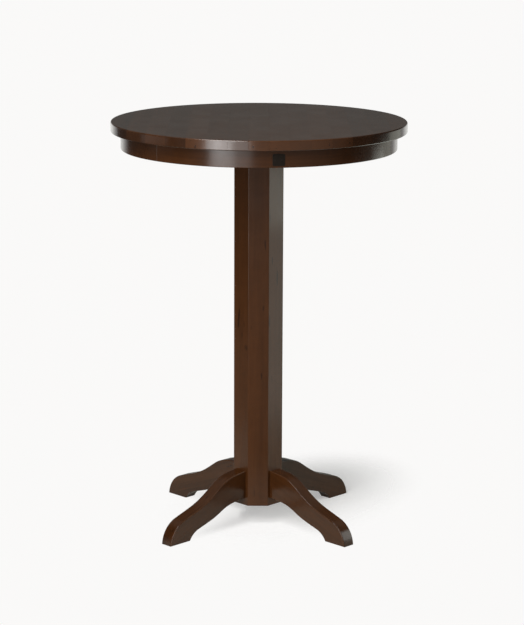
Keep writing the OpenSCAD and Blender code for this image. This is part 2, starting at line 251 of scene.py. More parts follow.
def feed(tree, value, socket):
    """Links a socket to another one, or sets it to a plain value"""
    if isinstance(value, bpy.types.NodeSocket):
        tree.links.new(value, socket)
    else:
        socket.default_value = value


def add(tree, kind, inputs=None, **settings):
    """Adds a node, sets it up, and links or sets its inputs"""
    made = tree.nodes.new(kind)
    for key, value in settings.items():
        setattr(made, key, value)
    for key, value in (inputs or {}).items():
        feed(tree, value, made.inputs[key])
    return made


def maths(tree, operation, a, b=0.0, c=0.0):
    return add(tree, "ShaderNodeMath", {0: a, 1: b, 2: c}, operation=operation).outputs[0]


def vector_maths(tree, operation, a, b=(0, 0, 0), c=(0, 0, 0)):
    """The vector or, for a length, a distance or a dot product, the number that comes out"""
    made = add(tree, "ShaderNodeVectorMath", {0: a, 1: b, 2: c}, operation=operation)
    is_number = operation in ("LENGTH", "DISTANCE", "DOT_PRODUCT")
    return made.outputs["Value" if is_number else "Vector"]


def remap(tree, value, low, high, to_low=0.0, to_high=1.0, smooth=False):
    """Takes low to to_low and high to to_high, and holds what lies past them"""
    kind = "SMOOTHSTEP" if smooth else "LINEAR"
    inputs = {"Value": value, "From Min": low, "From Max": high, "To Min": to_low, "To Max": to_high}
    return add(tree, "ShaderNodeMapRange", inputs, interpolation_type=kind).outputs["Result"]


def mix(tree, factor, first, second):
    """Blends two colours, each of them a socket or three numbers"""
    made = add(tree, "ShaderNodeMix", {MIX_FACTOR: factor}, data_type="RGBA")
    for index, colour in ((MIX_FIRST, first), (MIX_SECOND, second)):
        linked = isinstance(colour, bpy.types.NodeSocket)
        feed(tree, colour if linked else (*colour, 1), made.inputs[index])
    return made.outputs[MIX_RESULT]


def scaled(colour, factor):
    return [factor * c for c in colour]


def noise(tree, place, scale, detail=3.0, roughness=0.55):
    inputs = {"Vector": place, "Scale": scale, "Detail": detail, "Roughness": roughness}
    return add(tree, "ShaderNodeTexNoise", inputs).outputs["Fac"]


def stretched(tree, place, along):
    """A place whose third measure, the one along the grain, counts so many times"""
    return vector_maths(tree, "MULTIPLY", place, (1, 1, along))


def attribute(tree, name):
    return add(tree, "ShaderNodeAttribute", attribute_type="GEOMETRY", attribute_name=name)


def object_place(tree):
    return add(tree, "ShaderNodeTexCoord").outputs["Object"]


def shader_group(name, inputs, outputs):
    """Returns a new shader group's tree, the node of its inputs and the node of its outputs"""
    tree = bpy.data.node_groups.new(name, "ShaderNodeTree")
    for label, kind, value in inputs:
        socket = tree.interface.new_socket(name=label, in_out="INPUT", socket_type=f"NodeSocket{kind}")
        if kind == "Float":
            socket.default_value = value
    for label, kind in outputs:
        tree.interface.new_socket(name=label, in_out="OUTPUT", socket_type=f"NodeSocket{kind}")
    return tree, tree.nodes.new("NodeGroupInput"), tree.nodes.new("NodeGroupOutput")


def grain_group(name):
    """Fine-grained hardwood. Place is the spot in the board: across, through and along the grain"""
    tree, given, result = shader_group(
        name,
        [("Place", "Vector", None), ("Tone", "Float", 0.5), ("Figure", "Float", 1.0)],
        [("Shade", "Float"), ("Flecks", "Float"), ("Height", "Float")],
    )
    place = given.outputs["Place"]
    long = stretched(tree, place, along=0.06)
    sway = add(tree, "ShaderNodeTexNoise", {"Vector": long, "Scale": 7.0, "Detail": 2.0})
    swayed = vector_maths(tree, "MULTIPLY_ADD", sway.outputs["Color"], (0.012, 0.012, 0.0), long)
    bands = noise(tree, swayed, scale=26.0, detail=2.0)
    streaks = noise(tree, swayed, scale=150.0, detail=4.0, roughness=0.62)
    inputs = {"Vector": swayed, "Scale": 52.0, "Distortion": 1.2, "Detail": 2.0, "Detail Scale": 2.0}
    kind = {"wave_type": "RINGS", "rings_direction": "Z", "wave_profile": "SIN"}
    rings = add(tree, "ShaderNodeTexWave", inputs, **kind).outputs["Fac"]
    curl = noise(tree, stretched(tree, place, along=1.6), scale=34.0, detail=2.0)
    pits = noise(tree, stretched(tree, place, along=0.03), scale=1900.0, detail=1.0)
    pores = remap(tree, pits, low=0.60, high=0.72)
    spots = noise(tree, stretched(tree, place, along=0.16), scale=110.0, detail=0.0)

    # Each layer lightens and darkens the board's tone by its own share
    figure = 0.0
    for layer, share in ((bands, 1.3), (streaks, 0.85), (rings, 0.10), (curl, 0.35)):
        around_nought = maths(tree, "SUBTRACT", layer, 0.5)
        figure = maths(tree, "MULTIPLY_ADD", around_nought, share, figure)
    figure = maths(tree, "MULTIPLY_ADD", pores, -0.08, figure)
    shade = maths(tree, "MULTIPLY_ADD", figure, given.outputs["Figure"], given.outputs["Tone"])
    height = maths(tree, "MULTIPLY_ADD", pores, -0.06, maths(tree, "MULTIPLY", streaks, 0.35))
    tree.links.new(remap(tree, shade, low=0.0, high=1.0), result.inputs["Shade"])
    tree.links.new(remap(tree, spots, low=0.77, high=0.84, smooth=True), result.inputs["Flecks"])
    tree.links.new(height, result.inputs["Height"])
    return tree


def wear_group(name):
    """Thin stain along the edges. Edge is 1 on an eased edge and 0 on the faces beside it"""
    tree, given, result = shader_group(
        name,
        [("Place", "Vector", None), ("Edge", "Float", 0.0), ("Amount", "Float", 0.5)],
        [("Worn", "Float")],
    )
    rubbing = noise(tree, given.outputs["Place"], scale=24.0, detail=4.0, roughness=0.7)
    patches = remap(tree, rubbing, low=0.42, high=0.66)
    on_edge = maths(tree, "MULTIPLY", patches, given.outputs["Edge"])
    tree.links.new(maths(tree, "MULTIPLY", on_edge, given.outputs["Amount"]), result.inputs["Worn"])
    return tree


def polish_group(name):
    """Soft blotches of more and less polish"""
    tree, given, result = shader_group(
        name,
        [("Place", "Vector", None), ("Glossy", "Float", 0.2), ("Dull", "Float", 0.4)],
        [("Roughness", "Float"), ("Height", "Float")],
    )
    place, glossy, dull = (given.outputs[label] for label in ("Place", "Glossy", "Dull"))
    blotches = noise(tree, place, scale=11.0, detail=5.0, roughness=0.6)
    rough = remap(tree, blotches, low=0.3, high=0.7, to_low=glossy, to_high=dull)
    tree.links.new(rough, result.inputs["Roughness"])
    tree.links.new(noise(tree, place, scale=38.0, detail=2.0), result.inputs["Height"])
    return tree


EFFECTS = {"Close grain": grain_group, "Edge wear": wear_group, "Polish": polish_group}


def effect(tree, name, inputs):
    """Places a shared group with a material's own values, and builds it when it is first asked for"""
    group = bpy.data.node_groups.get(name) or EFFECTS[name](name)
    return add(tree, "ShaderNodeGroup", inputs, node_tree=group)


def blank(name):
    """A new material, its node tree and its Principled shader"""
    material = bpy.data.materials.new(name)
    material.use_nodes = True
    tree = material.node_tree
    return material, tree, tree.nodes["Principled BSDF"]


def roughen(tree, shader, height, strength, distance):
    """Lets a height raise and sink a shader's surface"""
    bump = add(tree, "ShaderNodeBump", {"Strength": strength, "Distance": distance, "Height": height})
    tree.links.new(bump.outputs["Normal"], shader.inputs["Normal"])


# Finishes

# The arguments that wood() takes for each kind of stained board
WOODS = {
    "top_wood": {
        "gloss": (0.14, 0.20), "lacquer": 0.60, "figure": 0.32, "end_grain": ("lengthwise", 1.6, -0.64),
    },
    "apron_wood": {"gloss": (0.17, 0.23), "lacquer": 0.33, "figure": 0.7},
    "column_wood": {"gloss": (0.18, 0.26), "lacquer": 0.27, "figure": 0.7},
    "leg_wood": {
        # The legs' edges are paler than the other boards': real wear, and in part a painted highlight
        # along their arrises
        "gloss": (0.15, 0.22), "lacquer": 0.29, "figure": 0.7, "wear": 0.5,
        "end_grain": ("outwards", 0.0, -0.3),
    },
}
SAWN = {"gloss": (0.45, 0.60), "lacquer": 0.3}  # the cleats
BARE = {"gloss": (0.60, 0.75), "lacquer": 0.3}  # the plug and the dowels

FLECK_SHADE = 0.35  # a fleck's colour, as a share of the dark stain
FLECK_COVER = 0.6  # how much of the stain a fleck hides
POLISH_DEPTH = 0.8  # how deep the polish's blotches are beside the grain
END_FALL = 1.5  # how fast the look of end grain falls off as the surface turns to the board's side
PITH = (0.04, 0.07, 0)  # from the rings' middle to the axis, on the pieces that are finished as packed


def end_shade(tree, shade, tone, runs, by_tone, change):
    """Changes a shade where the surface faces along the grain, by a share of the tone and a step

    The grain runs lengthwise from front to back, or outwards from the table's axis.
    """
    along_grain = (0, 1, 0)
    if runs == "outwards":
        level = vector_maths(tree, "MULTIPLY", object_place(tree), (1, 1, 0))
        along_grain = vector_maths(tree, "NORMALIZE", level)
    normal = add(tree, "ShaderNodeNewGeometry").outputs["Normal"]
    facing_end = vector_maths(tree, "DOT_PRODUCT", normal, along_grain)
    end = maths(tree, "POWER", maths(tree, "ABSOLUTE", facing_end), END_FALL)
    more = maths(tree, "MULTIPLY_ADD", tone, by_tone, change)
    return maths(tree, "MULTIPLY_ADD", end, more, shade)


def wood(name, stains, gloss, lacquer, wear=0.35, figure=1.0, end_grain=None, along=None):
    """Lacquered or bare wood. Its grain comes from the piece's own attributes, or runs along an axis

    Stains are the light, the dark and the worn one. Gloss is the roughness at its least and its most.
    """
    light, dark, worn = stains
    material, tree, shader = blank(name)
    if along:
        turn = {"X": (0, math.radians(-90), 0), "Y": (math.radians(90), 0, 0), "Z": (0, 0, 0)}[along]
        inputs = {"Vector": object_place(tree), "Rotation": turn, "Location": PITH}
        place = add(tree, "ShaderNodeMapping", inputs).outputs["Vector"]
        tone, edge = 0.5, 0.0
    else:
        place = attribute(tree, "grain").outputs["Vector"]
        tone = attribute(tree, "tone").outputs["Fac"]
        edge = attribute(tree, "eased").outputs["Fac"]
    grain = effect(tree, "Close grain", {"Place": place, "Tone": tone, "Figure": figure})
    rub = effect(tree, "Edge wear", {"Place": place, "Edge": edge, "Amount": wear})
    polish = effect(tree, "Polish", {"Place": place, "Glossy": gloss[0], "Dull": gloss[1]})
    shade = grain.outputs["Shade"]
    if end_grain:
        shade = end_shade(tree, shade, tone, *end_grain)
    cover = maths(tree, "MULTIPLY", grain.outputs["Flecks"], FLECK_COVER)
    colour = mix(tree, shade, dark, light)
    colour = mix(tree, cover, colour, scaled(dark, FLECK_SHADE))
    colour = mix(tree, rub.outputs["Worn"], colour, worn)
    tree.links.new(colour, shader.inputs["Base Color"])
    tree.links.new(polish.outputs["Roughness"], shader.inputs["Roughness"])
    height = maths(tree, "MULTIPLY_ADD", polish.outputs["Height"], POLISH_DEPTH, grain.outputs["Height"])
    roughen(tree, shader, height, strength=0.05, distance=0.0004)
    shader.inputs["Specular IOR Level"].default_value = lacquer
    return material


def stains_of(context):
    colours = context.scene.pub_table_colours
    return colours.stain_light, colours.stain_dark, colours.stain_worn


def wood_of(context, slot):
    """The lacquered wood of one of the table's slots"""
    name = "lacquered_" + slot
    return bpy.data.materials.get(name) or wood(name, stains_of(context), **WOODS[slot])


def zinc_plating(colour):
    """Bright zinc with faint blotches"""
    material, tree, shader = blank("zinc_plating")
    place = object_place(tree)
    cloud = noise(tree, place, scale=420.0)
    haze = noise(tree, place, scale=900.0, detail=2.0)
    rough = remap(tree, haze, low=0.3, high=0.7, to_low=0.26, to_high=0.42)
    tree.links.new(mix(tree, cloud, scaled(colour, 0.72), colour), shader.inputs["Base Color"])
    tree.links.new(rough, shader.inputs["Roughness"])
    roughen(tree, shader, cloud, strength=0.08, distance=0.0001)
    shader.inputs["Metallic"].default_value = 1.0
    return material


def badge_lacquer(colour):
    """Black satin lacquer on metal, with a fine hammered skin"""
    material, tree, shader = blank("badge_lacquer")
    place = object_place(tree)
    cloud = noise(tree, place, scale=90.0)
    skin = noise(tree, place, scale=1600.0, detail=2.0)
    rough = remap(tree, skin, low=0.3, high=0.7, to_low=0.30, to_high=0.44)
    tree.links.new(mix(tree, cloud, colour, scaled(colour, 2.2)), shader.inputs["Base Color"])
    tree.links.new(rough, shader.inputs["Roughness"])
    roughen(tree, shader, skin, strength=0.15, distance=0.00005)
    shader.inputs["Specular IOR Level"].default_value = 0.16
    return material


def refinish(node, material):
    """Gives a CAD node its finish"""
    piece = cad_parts[node]
    piece.data.materials.clear()
    piece.data.materials.append(material)


# Shaping

def facing(angle):
    """The matrix that turns what is drawn at the front to an angle in degrees"""
    return Matrix.Rotation(math.radians(angle), 4, "Z")


def around(t, radius, height):
    """The spot at an angle in radians, at a radius and a height"""
    return (radius * math.sin(t), -radius * math.cos(t), height)


def arc(centre, radius, start, end, steps):
    """Points of an arc, by angles in degrees"""
    spots = []
    for k in range(steps + 1):
        t = math.radians(start + (end - start) * k / steps)
        spots.append((centre[0] + radius * math.cos(t), centre[1] + radius * math.sin(t)))
    return spots


def rounded(a, p, b, radius):
    """Points of the arc that rounds the corner p of the path a, p, b"""
    a, p, b = Vector(a), Vector(p), Vector(b)
    u, v = (a - p).normalized(), (b - p).normalized()
    half = math.acos(max(-1, min(1, u.dot(v)))) / 2
    centre = p + (u + v).normalized() * radius / math.sin(half)
    start, end = p + u * radius / math.tan(half) - centre, p + v * radius / math.tan(half) - centre
    turn = math.atan2(start.x * end.y - start.y * end.x, start.dot(end))
    spots = []
    for k in range(CURVE_STEPS + 1):
        cos, sin = math.cos(turn * k / CURVE_STEPS), math.sin(turn * k / CURVE_STEPS)
        spots.append(centre + Vector((start.x * cos - start.y * sin, start.x * sin + start.y * cos)))
    return spots


def rounded_path(path, radii):
    """An open path's points, with each inner corner rounded by its own radius"""
    spots = [Vector(path[0])]
    for k, radius in enumerate(radii):
        spots += rounded(path[k], path[k + 1], path[k + 2], radius)
    return spots + [Vector(path[-1])]


def fresh_mesh():
    """A bmesh whose faces can be marked as eased, so that the finish can wear there"""
    bm = bmesh.new()
    bm.faces.layers.float.new("eased")
    return bm


def mark_eased(bm, faces):
    layer = bm.faces.layers.float["eased"]
    for face in faces:
        face[layer] = 1.0


def ease(bm, edges, width, segments):
    """Rounds edges and marks the new faces"""
    made = bmesh.ops.bevel(
        bm, geom=edges, offset=width, segments=segments, profile=0.5, affect="EDGES", clamp_overlap=True
    )
    mark_eased(bm, made["faces"])


def edges_of(faces):
    """The edges around some faces, each of them once"""
    return list(dict.fromkeys(edge for face in faces for edge in face.edges))


def skin(bm, first, second):
    """Lays faces between two closed rows of points"""
    for i in range(len(first)):
        n = (i + 1) % len(first)
        bm.faces.new((first[i], first[n], second[n], second[i]))


def lathe(profile, steps):
    """A closed solid turned around the column's axis from the profile's radii and heights"""
    bm = fresh_mesh()
    rows = []
    for k in range(steps):
        t = 2 * math.pi * k / steps
        rows.append([bm.verts.new(around(t, r, z)) for r, z in profile])
    for k in range(steps):
        a, b = rows[k], rows[(k + 1) % steps]
        for j in range(len(profile) - 1):
            bm.faces.new((a[j], b[j], b[j + 1], a[j + 1]))
    bm.faces.new([row[0] for row in reversed(rows)])
    bm.faces.new([row[-1] for row in rows])
    return bm


def cut_away(bm, spot, normal):
    """Cuts off what lies on the normal's side of a plane, and closes the cut with one face"""
    geometry = bm.verts[:] + bm.edges[:] + bm.faces[:]
    cut = bmesh.ops.bisect_plane(
        bm, geom=geometry, dist=TOUCH, plane_co=spot, plane_no=normal, clear_outer=True
    )
    edges = [e for e in cut["geom_cut"] if isinstance(e, bmesh.types.BMEdge)]
    return bmesh.ops.edgeloop_fill(bm, edges=edges)["faces"]


def bored(bm, angles, ring_radius, low, sizes):
    """Bores the ways for the screws into an apron segment from below"""
    body = bpy.data.meshes.new("segment")
    bm.to_mesh(body)
    bm.free()
    radius = sizes.screw_way / 2
    drills = bmesh.new()
    for angle in angles:
        # The drill's middle lies in the apron's lower face, so half of its length goes in
        place = Matrix.Translation(around(math.radians(angle), ring_radius, low))
        bmesh.ops.create_cone(
            drills, cap_ends=True, segments=48, radius1=radius, radius2=radius,
            depth=2 * sizes.screw_way_depth, matrix=place,
        )
    cutter = bpy.data.meshes.new("drills")
    drills.to_mesh(cutter)
    drills.free()
    segment, ways = [bpy.data.objects.new(mesh.name, mesh) for mesh in (body, cutter)]
    for thing in (segment, ways):
        bpy.context.scene.collection.objects.link(thing)
    cut = segment.modifiers.new("ways", "BOOLEAN")
    cut.operation, cut.solver, cut.object = "DIFFERENCE", "EXACT", ways
    shaped = segment.evaluated_get(bpy.context.evaluated_depsgraph_get()).to_mesh()
    result = bmesh.new()
    result.from_mesh(shaped)
    for thing in (segment, ways):
        bpy.data.objects.remove(thing)
    for mesh in (body, cutter):
        bpy.data.meshes.remove(mesh)
    return result


def place_in_log(draw, across, through):
    """Where a board lay in its log: random steps across, through and along the grain"""
    return Vector([draw.uniform(*span) for span in (across, through, LOG_SPAN)])


def dress(name, bm, node, material, grain, tone):
    """Makes a mesh into a piece that stands for its CAD node, with its grain, tone and finish"""
    bmesh.ops.recalc_face_normals(bm, faces=bm.faces)
    if bm.calc_volume(signed=True) < 0:
        bmesh.ops.reverse_faces(bm, faces=bm.faces)
    mesh = bpy.data.meshes.new(name)
    bm.to_mesh(mesh)
    bm.free()
    spots = [x for vertex in mesh.vertices for x in grain(vertex.co)]
    mesh.attributes.new("grain", "FLOAT_VECTOR", "POINT").data.foreach_set("vector", spots)
    mesh.attributes.new("tone", "FLOAT", "POINT").data.foreach_set("value", [tone] * len(mesh.vertices))
    mesh.shade_smooth()
    mesh.set_sharp_from_angle(angle=math.radians(SHARP_ANGLE))
    mesh.materials.append(material)
    piece = bpy.data.objects.new(name, mesh)
    bpy.context.scene.collection.objects.link(piece)
    even = piece.modifiers.new("even shading", "WEIGHTED_NORMAL")
    even.keep_sharp = True
    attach(piece, "root")
    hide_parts(node)
    return piece


# Pieces

class TopStaves(bpy.types.Operator):
    """Cuts the round top into its staves, with eased glue lines"""

    bl_idname = "pub_table.top_staves"
    bl_label = "Top staves"

    def execute(self, context):
        sizes = context.scene.pub_table_sizes
        radius, high, low = top_high.y, top_high.z, top_low.z
        up, under = sizes.rim_round, sizes.rim_round_under
        lower_edge = arc((radius - under, low + under), under, -90, 0, steps=5)
        upper_edge = arc((radius - up, high - up), up, 0, 90, steps=7)
        disc = lathe(lower_edge + upper_edge, RIM_STEPS)
        rim = [f for f in disc.faces if len(f.verts) == 4]
        mark_eased(disc, [f for f in rim if max(v.co.z for v in f.verts) > high - up / 2])
        draw = random.Random(TOP_SEED)
        material = wood_of(context, "top_wood")
        width = 2 * radius / len(STAVES)
        for k, node in enumerate(STAVES):
            left, right = k * width - radius, (k + 1) * width - radius
            stave = disc.copy()
            sides = []
            if k > 0:
                sides += cut_away(stave, (left, 0, 0), (-1, 0, 0))
            if k < len(STAVES) - 1:
                sides += cut_away(stave, (right, 0, 0), (1, 0, 0))
            ease(stave, edges_of(sides), sizes.glue_ease, segments=1)
            middle = (left + right) / 2
            across = draw.uniform(-0.03, 0.03)
            through = draw.choice((-1, 1)) * draw.uniform(0.02, 0.07)
            pith = Vector((across, through, draw.uniform(*LOG_SPAN)))

            def grain(co, middle=middle, pith=pith):
                return (co.x - middle + pith.x, co.z - low + pith.y, co.y + pith.z)

            dress(node + "_wood", stave, node, material, grain, STAVE_TONES_AND_SHADE[k])
        disc.free()
        return {"FINISHED"}


class ApronRing(bpy.types.Operator):
    """Bends the apron's segments, with the ways for their screws"""

    bl_idname = "pub_table.apron_ring"
    bl_label = "Apron ring"

    def execute(self, context):
        sizes = context.scene.pub_table_sizes
        outer, low, high = -apron_low.y, apron_low.z, apron_high.z
        inner = outer - sizes.apron_wall
        lip, bend = APRON_INNER_ROUND, sizes.apron_round
        inner_edge = arc((inner + lip, low + lip), lip, 180, 270, steps=2)
        outer_edge = arc((outer - bend, low + bend), bend, -90, 0, steps=5)
        profile = [(inner, high)] + inner_edge + outer_edge + [(outer, high)]
        sweep = 360 / len(SEGMENTS)
        draw = random.Random(APRON_SEED)
        material = wood_of(context, "apron_wood")
        for k, node in enumerate(SEGMENTS):
            start = (k - 0.5) * sweep
            bm = fresh_mesh()
            rows = []
            for j in range(SEGMENT_STEPS + 1):
                t = math.radians(start + sweep * j / SEGMENT_STEPS)
                rows.append([bm.verts.new(around(t, r, z)) for r, z in profile])
            for first, second in zip(rows, rows[1:]):
                skin(bm, second, first)
            ends = [bm.faces.new(rows[0]), bm.faces.new(list(reversed(rows[-1])))]
            bmesh.ops.recalc_face_normals(bm, faces=bm.faces)
            ease(bm, edges_of(ends), sizes.seam_ease, segments=1)
            screws = [start + SCREW_ANGLE, start + sweep - SCREW_ANGLE]
            bm = bored(bm, screws, (inner + outer) / 2, low, sizes)
            shift = draw.uniform(*APRON_LOG_SPAN)

            def grain(co, shift=shift):
                across, through = co.z - low, math.hypot(co.x, co.y) - inner
                along = math.atan2(co.x, -co.y) * outer
                return (across + APRON_PITH[0], through + APRON_PITH[1], along + shift)

            dress(node + "_wood", bm, node, material, grain, APRON_TONES[k])
        return {"FINISHED"}


class ColumnBoards(bpy.types.Operator):
    """Mitres the column's boards, with rounded corners"""

    bl_idname = "pub_table.column_boards"
    bl_label = "Column boards"

    def execute(self, context):
        sizes = context.scene.pub_table_sizes
        flat, low, high = -column_low.y, column_low.z, column_high.z
        hollow = flat - sizes.column_wall
        mitre = 180 / len(BOARDS)
        slope = math.tan(math.radians(mitre))
        # The mitre halves the arc that rounds each corner, so a board has half of it at either side
        radius = sizes.column_ease / (4 * math.tan(math.radians(mitre) / 2))
        corner = arc(((flat - radius) * slope, radius - flat), radius, -90, mitre - 90, steps=3)
        half_width = hollow * slope - BOARD_GAP
        inner = [(half_width, -hollow), (-half_width, -hollow)]
        outline = corner + inner + [(-x, y) for x, y in reversed(corner)]
        draw = random.Random(COLUMN_SEED)
        material = wood_of(context, "column_wood")
        for k, node in enumerate(BOARDS):
            bm = fresh_mesh()
            foot, head = [[bm.verts.new((x, y, z)) for x, y in outline] for z in (low, high)]
            skin(bm, foot, head)
            under = bm.faces.new(list(reversed(foot)))
            bm.faces.new(head)
            bmesh.ops.recalc_face_normals(bm, faces=bm.faces)
            # The lower end is eased at its outer edges, so not towards the hollow
            outer = [e for e in under.edges if all(v.co.y < -(flat + hollow) / 2 for v in e.verts)]
            ease(bm, outer, COLUMN_FOOT_EASE, segments=2)
            angle = k * 360 / len(BOARDS)
            bm.transform(facing(angle))
            pith = place_in_log(draw, across=(-0.02, 0.02), through=(0.03, 0.09))

            def grain(co, turn=facing(-angle), pith=pith):
                local = turn @ co
                return (local.x + pith.x, local.y + flat + pith.y, local.z + pith.z)

            dress(node + "_wood", bm, node, material, grain, COLUMN_TONES[k])
        return {"FINISHED"}


class ShapedLegs(bpy.types.Operator):
    """Saws the four legs to their curves, with rounded edges"""

    bl_idname = "pub_table.shaped_legs"
    bl_label = "Shaped legs"

    def execute(self, context):
        sizes = context.scene.pub_table_sizes
        flat, reach = -column_low.y, sizes.leg_reach
        root = column_low.z + ROOT_RISE
        root_top = root + ROOT_HEIGHT
        upper = rounded_path(
            [
                (flat, root_top), (flat + CROWN_OUT, root_top - CROWN_DROP),
                (reach - WAIST_IN, WAIST_HEIGHT), (reach - TOE_IN, TOE_HEIGHT), (reach, 0),
            ],
            [CROWN_ROUND, WAIST_ROUND, TOE_ROUND],
        )
        lower = rounded_path(
            [
                (reach - PAD_LENGTH, 0), (reach - HEEL_IN, HEEL_HEIGHT), (reach - ARCH_IN, ARCH_HEIGHT),
                (flat + BELLY_OUT, root - BELLY_DROP), (flat, root),
            ],
            [HEEL_ROUND, ARCH_ROUND, BELLY_ROUND],
        )
        outline = upper + lower
        half = sizes.leg_wall / 2
        slope = math.atan2(root_top - TOE_HEIGHT, reach - flat)
        draw = random.Random(LEG_SEED)
        material = wood_of(context, "leg_wood")
        for k, (node, angle) in enumerate(LEGS.items()):
            bm = fresh_mesh()
            left, right = [[bm.verts.new((x, -p.x, p.y)) for p in outline] for x in (-half, half)]
            skin(bm, left, right)
            cheeks = [bm.faces.new(left), bm.faces.new(list(reversed(right)))]
            bmesh.ops.recalc_face_normals(bm, faces=bm.faces)
            # The edges that meet the column's face stay sharp
            free = [e for e in edges_of(cheeks) if any(abs(v.co.y + flat) >= TOUCH for v in e.verts)]
            ease(bm, free, sizes.leg_ease, segments=3)
            bm.transform(facing(angle))
            pith = place_in_log(draw, across=(0.01, 0.04), through=(0.02, 0.08))

            def grain(co, turn=facing(-angle), pith=pith):
                local = turn @ co
                along = -local.y * math.cos(slope) - local.z * math.sin(slope)
                across = -local.y * math.sin(slope) + local.z * math.cos(slope)
                return (across + pith.x, local.x + pith.y, along + pith.z)

            dress(node + "_wood", bm, node, material, grain, LEG_TONES[k])
        return {"FINISHED"}


class CrossedCleats(bpy.types.Operator):
    """Finishes the crossed cleats, the plug and the dowels"""

    bl_idname = "pub_table.crossed_cleats"
    bl_label = "Crossed cleats"

    def execute(self, context):
        colours = context.scene.pub_table_colours
        stains = stains_of(context)
        pale = (colours.bare_light, colours.bare_dark, colours.bare_light)
        refinish("cleat_across", wood("cleat_wood_across", stains, along="X", **SAWN))
        refinish("cleat_lengthwise", wood("cleat_wood_lengthwise", stains, along="Y", **SAWN))
        refinish("column_plug", wood("plug_wood", pale, along="Z", **BARE))
        refinish("apron_dowels", wood("dowel_wood", pale, along="X", **BARE))
        return {"FINISHED"}


class ZincFasteners(bpy.types.Operator):
    """Plates the screws, bolts, washers and nuts"""

    bl_idname = "pub_table.zinc_fasteners"
    bl_label = "Zinc fasteners"

    def execute(self, context):
        plating = zinc_plating(context.scene.pub_table_colours.zinc)
        for node in FASTENERS:
            refinish(node, plating)
        return {"FINISHED"}


class BareBadge(bpy.types.Operator):
    """Lacquers the bare badge and its two pins"""

    bl_idname = "pub_table.bare_badge"
    bl_label = "Bare badge"

    def execute(self, context):
        lacquer = badge_lacquer(context.scene.pub_table_colours.badge)
        for node in ("badge_plate", "badge_pins"):
            refinish(node, lacquer)
        return {"FINISHED"}


# Studio

# Each lamp's angle, distance and height in the room, its width and height, its power in watts, the spot
# it is aimed at and, unless it is white, its colour. The cards, ledges and strips stand for the pale
# edges of the room that the lacquer mirrors
LAMPS = {
    "key": (-37, 1.45, 2.75, (0.9, 0.9), 36, (0, 0, 0.5)),
    "fill": (-24, 3.5, 3.0, (1.8, 1.4), 70, (0, 0, 0.6)),
    "low_fill": (-24, 3.5, 1.5, (1.6, 1.0), 30, (0, 0, 0.6)),
    "low_card": (-28.5, 3.0, 0.5, (1.0, 0.9), 17.3, (0, 0, 1.0)),
    "low_side": (-12.5, 3.0, 0.5, (0.7, 0.9), 4.1, (0, 0, 1.0)),
    "right_card": (97, 1.36, 0.30, (0.9, 0.90), 4.5, (0, 0.15, 0.30), (0.92, 1.0, 0.92)),
    "right_ledge": (104, 1.377, 0.80, (0.36, 0.06), 0.25, (0.29, -0.2, 0.80), (0.96, 1.0, 0.92)),
    "right_strip": (84.3, 0.5, 0.83, (0.3, 0.22), 0.30, (0, -0.05, 0.83), (0.95, 1.0, 0.9)),
    "toe_card": (71.3, 0.66, 0.17, (0.18, 0.22), 0.25, (0.234, -0.234, 0.03), (0.95, 1.0, 1.0)),
    "left_ledge": (-76, 1.377, 0.925, (0.62, 0.08), 0.06, (-0.25, -0.28, 0.925)),
    "rim_strip": (-26.6, 1.3, 0.925, (0.12, 0.05), 0.09, (-0.10, -0.37, 0.925)),
    "left_card": (-92, 1.42, 0.06, (1.0, 0.25), 0.18, (0, 0, 0.4), (1.0, 1.0, 0.9)),
    "right_back_card": (122, 2.4, 0.55, (0.9, 0.9), 2.3, (0.2, 0, 0.9), (0.98, 1.0, 0.88)),
    "back_left": (-148, 3.0, 0.8, (1.4, 1.4), 3.5, (0, 0, 0.8)),
    "back_right": (147, 3.0, 0.8, (1.3, 1.4), 2.4, (0, 0, 0.8)),
}

FLOOR_RADIUS = 3.2
CIRCLE_MIDDLE = (0.08, 0, 0)  # around this spot the floor fades out in a circle
FLOOR_PAINT = 0.76  # the floor's own colour, as a share of the background's
FLOOR_GLOW = 0.39  # how much of the background's colour the floor adds to its paint where it is seen
GLOSS_GLOW = 0.15  # the share of that glow that shows in gloss
# Further in front of the column and behind it, the floor's paint in gloss is darker, as a painted shadow
# in its reflection
NEAR_GLOSS, SHADED_GLOSS = (0.96, 0.96, 0.84), (0.24, 0.24, 0.21)  # the floor's paint as gloss shows it
AMBIENT = 0.03  # grey light from all around
BACK_WALL = (0.8, 0.8, 0.8)
ROOM_TINT = (1.0, 1.0, 0.95)


def softbox(name, angle, distance, height, size, watts, target, colour=(1, 1, 1)):
    """An area lamp at an angle from the front"""
    lamp = bpy.data.lights.new(name, "AREA")
    lamp.shape, lamp.size, lamp.size_y = "RECTANGLE", *size
    lamp.energy, lamp.color = watts, colour
    thing = bpy.data.objects.new(name, lamp)
    thing.visible_camera = False
    bpy.context.scene.collection.objects.link(thing)
    thing.location = facing(angle) @ Vector((0, -distance, height))
    direction = Vector(target) - thing.location
    thing.rotation_euler = direction.to_track_quat("-Z", "Y").to_euler()


def seen_rays(tree):
    """1 for rays that come from the camera or through glass, and 1 for those in gloss"""
    path = add(tree, "ShaderNodeLightPath")
    seen = maths(tree, "MAXIMUM", path.outputs["Is Camera Ray"], path.outputs["Is Transmission Ray"])
    return seen, path.outputs["Is Glossy Ray"]


